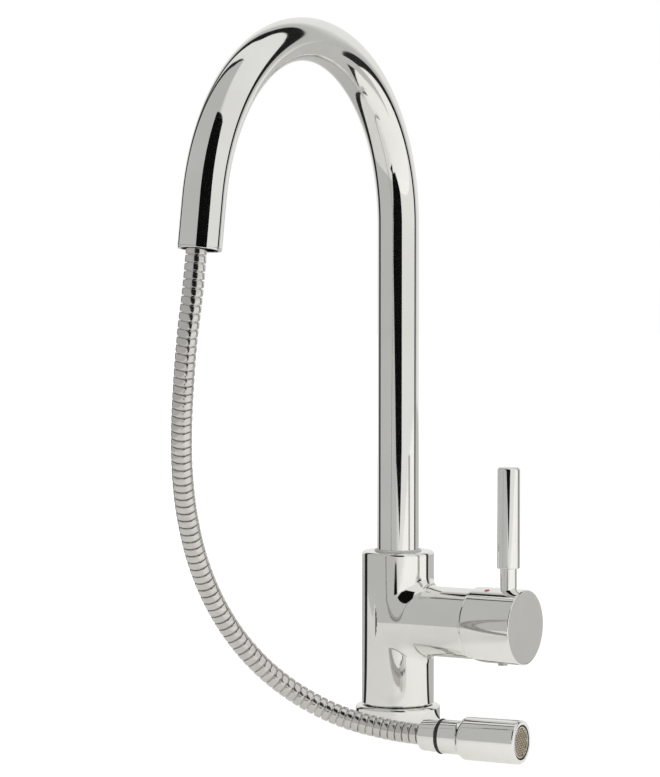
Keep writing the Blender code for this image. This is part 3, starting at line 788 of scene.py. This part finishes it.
# the parts not drawn again keep their engineering meshes, with a finish by slot
slotFinishes = {
    "polished_chrome": "polishedChromePlate", "machined_brass": "turnedBrass",
    "stainless_steel": "drawnStainlessBar", "hose_steel": "rolledStainlessStrip",
    "white_acetal": "mouldedAcetal", "grey_nylon": "glassFilledNylon", "black_rubber": "pressedRubber",
    "alumina_ceramic": "lappedAlumina", "aerator_mesh": "wovenWire",
    "red_plastic": "glassFilledNylon", "blue_plastic": "glassFilledNylon",
}
# painted shade: the aerator's core takes near-black nylon in place of its slot's finish
nodeFinishes = {"aerator_core": "paintedShadeNylon"}
for node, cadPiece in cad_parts.items():
    for materialSlot in cadPiece.material_slots:
        oldName = materialSlot.material.name.split(".")[0] if materialSlot.material else ""
        materialSlot.link = "OBJECT"
        finishName = nodeFinishes.get(node, slotFinishes.get(oldName, "drawnStainlessBar"))
        materialSlot.material = finishes[finishName]
print("stage: carried-over pieces finished")

studio = {
    # a tall round tent of pale cloth, further off behind the object than in front of it
    "tentRadius": 1.9, "tentCentre": (0.6, 1.2), "tentHeight": 2.6, "tentSink": 0.05,
    "tones": {"grey": 0.53, "light": 0.84, "back": 0.86, "dark": 0.015, "near": 0.54, "floor": 0.36},
    # tones once round the object: from behind, by the left side, the front and the right side
    "roundTones": ((0.0, "light"), (0.225, "light"), (0.235, "dark"), (0.262, "dark"), (0.268, "grey"),
                   (0.545, "grey"), (0.600, "light"), (1.0, "light")),
    # a dark gap frames the opening behind the object: its middle, half width and height
    "gapTurn": math.radians(-160), "gapHalf": math.radians(61), "gapRise": math.radians(63), "eye": 0.30,
    # tones from the middle of the opening out to the gap's outer edge
    "gapTones": ((0.0, "middle"), (0.36, "middle"), (0.43, "edge"), (0.470, "edge"), (0.475, "dark"),
                 (0.560, "dark")),
    "gapBlend": (0.560, 0.568),
    "cardTone": 0.004,
    "floorRadius": 5.5, "floorAlbedo": 0.92, "floorGlow": 0.40, "floorGain": 1.7,
    "floorCameraAlbedo": 0.45, "floorCameraGlow": 0.82,
    # a grey patch on the floor behind and to the right, where the cap's flat end looks
    "patchReach": (0.37, 0.39, 0.71, 0.74), "patchSide": 0.05, "patchBehind": (0.10, 0.20),
}


def greyTone(value):
    return (value, value * 0.995, value * 0.980, 1.0)


def studioTones(tree, middle, edge):
    # the tone of the studio round the object, by direction from the column and by height
    tones = {**studio["tones"], "middle": studio["tones"][middle], "edge": studio["tones"][edge]}
    place = addNode(tree, "TexCoord").outputs["Object"]
    parts = addNode(tree, "SeparateXYZ", {"Vector": place})
    azimuth = mathOutput(
        tree, "ARCTAN2", parts.outputs["X"], mathOutput(tree, "MULTIPLY", parts.outputs["Y"], -1.0)
    )
    turnPart = addNode(tree, "MapRange", {"Value": azimuth, "From Min": -math.pi, "From Max": math.pi})
    outer = rampNode(
        tree, turnPart.outputs["Result"],
        [(position, greyTone(tones[tone])) for position, tone in studio["roundTones"]],
    )
    wrapped = mathOutput(
        tree, "WRAP", mathOutput(tree, "SUBTRACT", azimuth, studio["gapTurn"]), math.pi, -math.pi
    )
    sideways = mathOutput(tree, "ABSOLUTE", mathOutput(tree, "DIVIDE", wrapped, studio["gapHalf"]))
    reach = vectorOutput(
        tree, "LENGTH", vectorOutput(tree, "MULTIPLY", place, (1.0, 1.0, 0.0)), output="Value"
    )
    rise = mathOutput(
        tree, "ARCTAN2", mathOutput(tree, "SUBTRACT", parts.outputs["Z"], studio["eye"]), reach
    )
    upwards = mathOutput(tree, "MAXIMUM", mathOutput(tree, "DIVIDE", rise, studio["gapRise"]), 0.0)
    total = mathOutput(tree, "MULTIPLY_ADD", sideways, sideways, mathOutput(tree, "POWER", upwards, 2.0))
    outwards = mathOutput(tree, "MULTIPLY", mathOutput(tree, "POWER", total, 0.5), 0.5)
    inner = rampNode(
        tree, outwards, [(position, greyTone(tones[tone])) for position, tone in studio["gapTones"]]
    )
    blendStart, blendEnd = studio["gapBlend"]
    outside = addNode(tree, "MapRange", {"Value": outwards, "From Min": blendStart, "From Max": blendEnd})
    return mixedColour(tree, outside.outputs["Result"], inner.outputs["Color"], outer.outputs["Color"])


deselectAll()
bpy.ops.mesh.primitive_cylinder_add(
    vertices=96, radius=studio["tentRadius"], depth=studio["tentHeight"],
    location=(*studio["tentCentre"], studio["tentHeight"] / 2 - studio["tentSink"]),
)
tent = namedPiece("studio_tent")
bpy.ops.object.transform_apply(location=True, rotation=True, scale=True)
tentMaterial, tree = emptyMaterial("tentCloth")
finishedMaterial(tree, emissionOutput(tree, studioTones(tree, "back", "near")))
tent.data.materials.append(tentMaterial)
tent.visible_camera = False
tent.visible_shadow = False

blackCards = {
    # corners of the dark panels that give the chrome its black cores
    "front_card": ((0.015, -0.305, 0.300), (0.110, -0.332, 0.150), (0.300, -0.386, 0.076),
                   (0.540, -0.454, 0.130), (0.540, -0.454, 0.930), (0.015, -0.305, 0.540)),
    "low_card": ((0.121, -0.485, 0.002), (0.245, -0.419, 0.002), (0.210, -0.438, 0.060),
                 (0.170, -0.459, 0.060)),
}
cardMaterial, tree = emptyMaterial("blackCard")
finishedMaterial(tree, emissionOutput(tree, greyTone(studio["cardTone"])))
for cardName, corners in blackCards.items():
    cardMesh = bpy.data.meshes.new(cardName)
    cardMesh.from_pydata(corners, [], [tuple(range(len(corners)))])
    card = bpy.data.objects.new(cardName, cardMesh)
    scene.collection.objects.link(card)
    card.data.materials.append(cardMaterial)
    card.visible_camera = False
    card.visible_shadow = False
    card.visible_diffuse = False

# the floor is plain and pale to the camera, and carries the studio's tones only in reflections
deselectAll()
bpy.ops.mesh.primitive_circle_add(vertices=64, radius=studio["floorRadius"], fill_type="NGON")
floor = namedPiece("studio_floor")
floorMaterial, tree = emptyMaterial("paleFloor")
floorPlace = addNode(tree, "TexCoord").outputs["Object"]
floorParts = addNode(tree, "SeparateXYZ", {"Vector": floorPlace})
ringStart, ringFull, ringFades, ringEnd = studio["patchReach"]
ring = rampNode(tree, vectorOutput(tree, "LENGTH", floorPlace, output="Value"), [
    (ringStart, (0, 0, 0, 1)), (ringFull, (1, 1, 1, 1)), (ringFades, (1, 1, 1, 1)), (ringEnd, (0, 0, 0, 1)),
])
rightSide = addNode(tree, "MapRange", {"Value": floorParts.outputs["X"], "From Max": studio["patchSide"]})
behindStart, behindEnd = studio["patchBehind"]
behind = addNode(
    tree, "MapRange", {"Value": floorParts.outputs["Y"], "From Min": behindStart, "From Max": behindEnd}
)
rightRing = mathOutput(tree, "MULTIPLY", ring.outputs["Color"], rightSide.outputs["Result"])
patch = mathOutput(tree, "MULTIPLY", rightRing, behind.outputs["Result"])
floorTone = greyTone(studio["tones"]["floor"])
floorTones = mixedColour(tree, patch, studioTones(tree, "floor", "floor"), floorTone)
brighter = vectorOutput(tree, "MULTIPLY", floorTones, (studio["floorGain"],) * 3)
albedo = vectorOutput(tree, "MINIMUM", brighter, greyTone(studio["floorAlbedo"])[:3])


def litFloor(colour, glowColour, glow):
    matt = addNode(tree, "BsdfDiffuse", {"Color": colour}).outputs["BSDF"]
    return addNode(tree, "AddShader", {0: matt, 1: emissionOutput(tree, glowColour, glow)}).outputs["Shader"]


mirrored = litFloor(albedo, floorTones, studio["floorGlow"])
seen = litFloor((*(studio["floorCameraAlbedo"],) * 3, 1.0), (1, 1, 1, 1), studio["floorCameraGlow"])
ray = addNode(tree, "LightPath")
both = addNode(tree, "MixShader", {0: ray.outputs["Is Camera Ray"], 1: mirrored, 2: seen})
finishedMaterial(tree, both.outputs["Shader"])
floor.data.materials.append(floorMaterial)

world = bpy.data.worlds.new("whiteStudio")
world.use_nodes = True
world.node_tree.nodes["Background"].inputs["Color"].default_value = (1.0, 1.0, 1.0, 1.0)
world.node_tree.nodes["Background"].inputs["Strength"].default_value = 1.0
scene.world = world
scene.view_settings.view_transform = "Standard"
scene.view_settings.look = "None"
print("stage: studio ready")
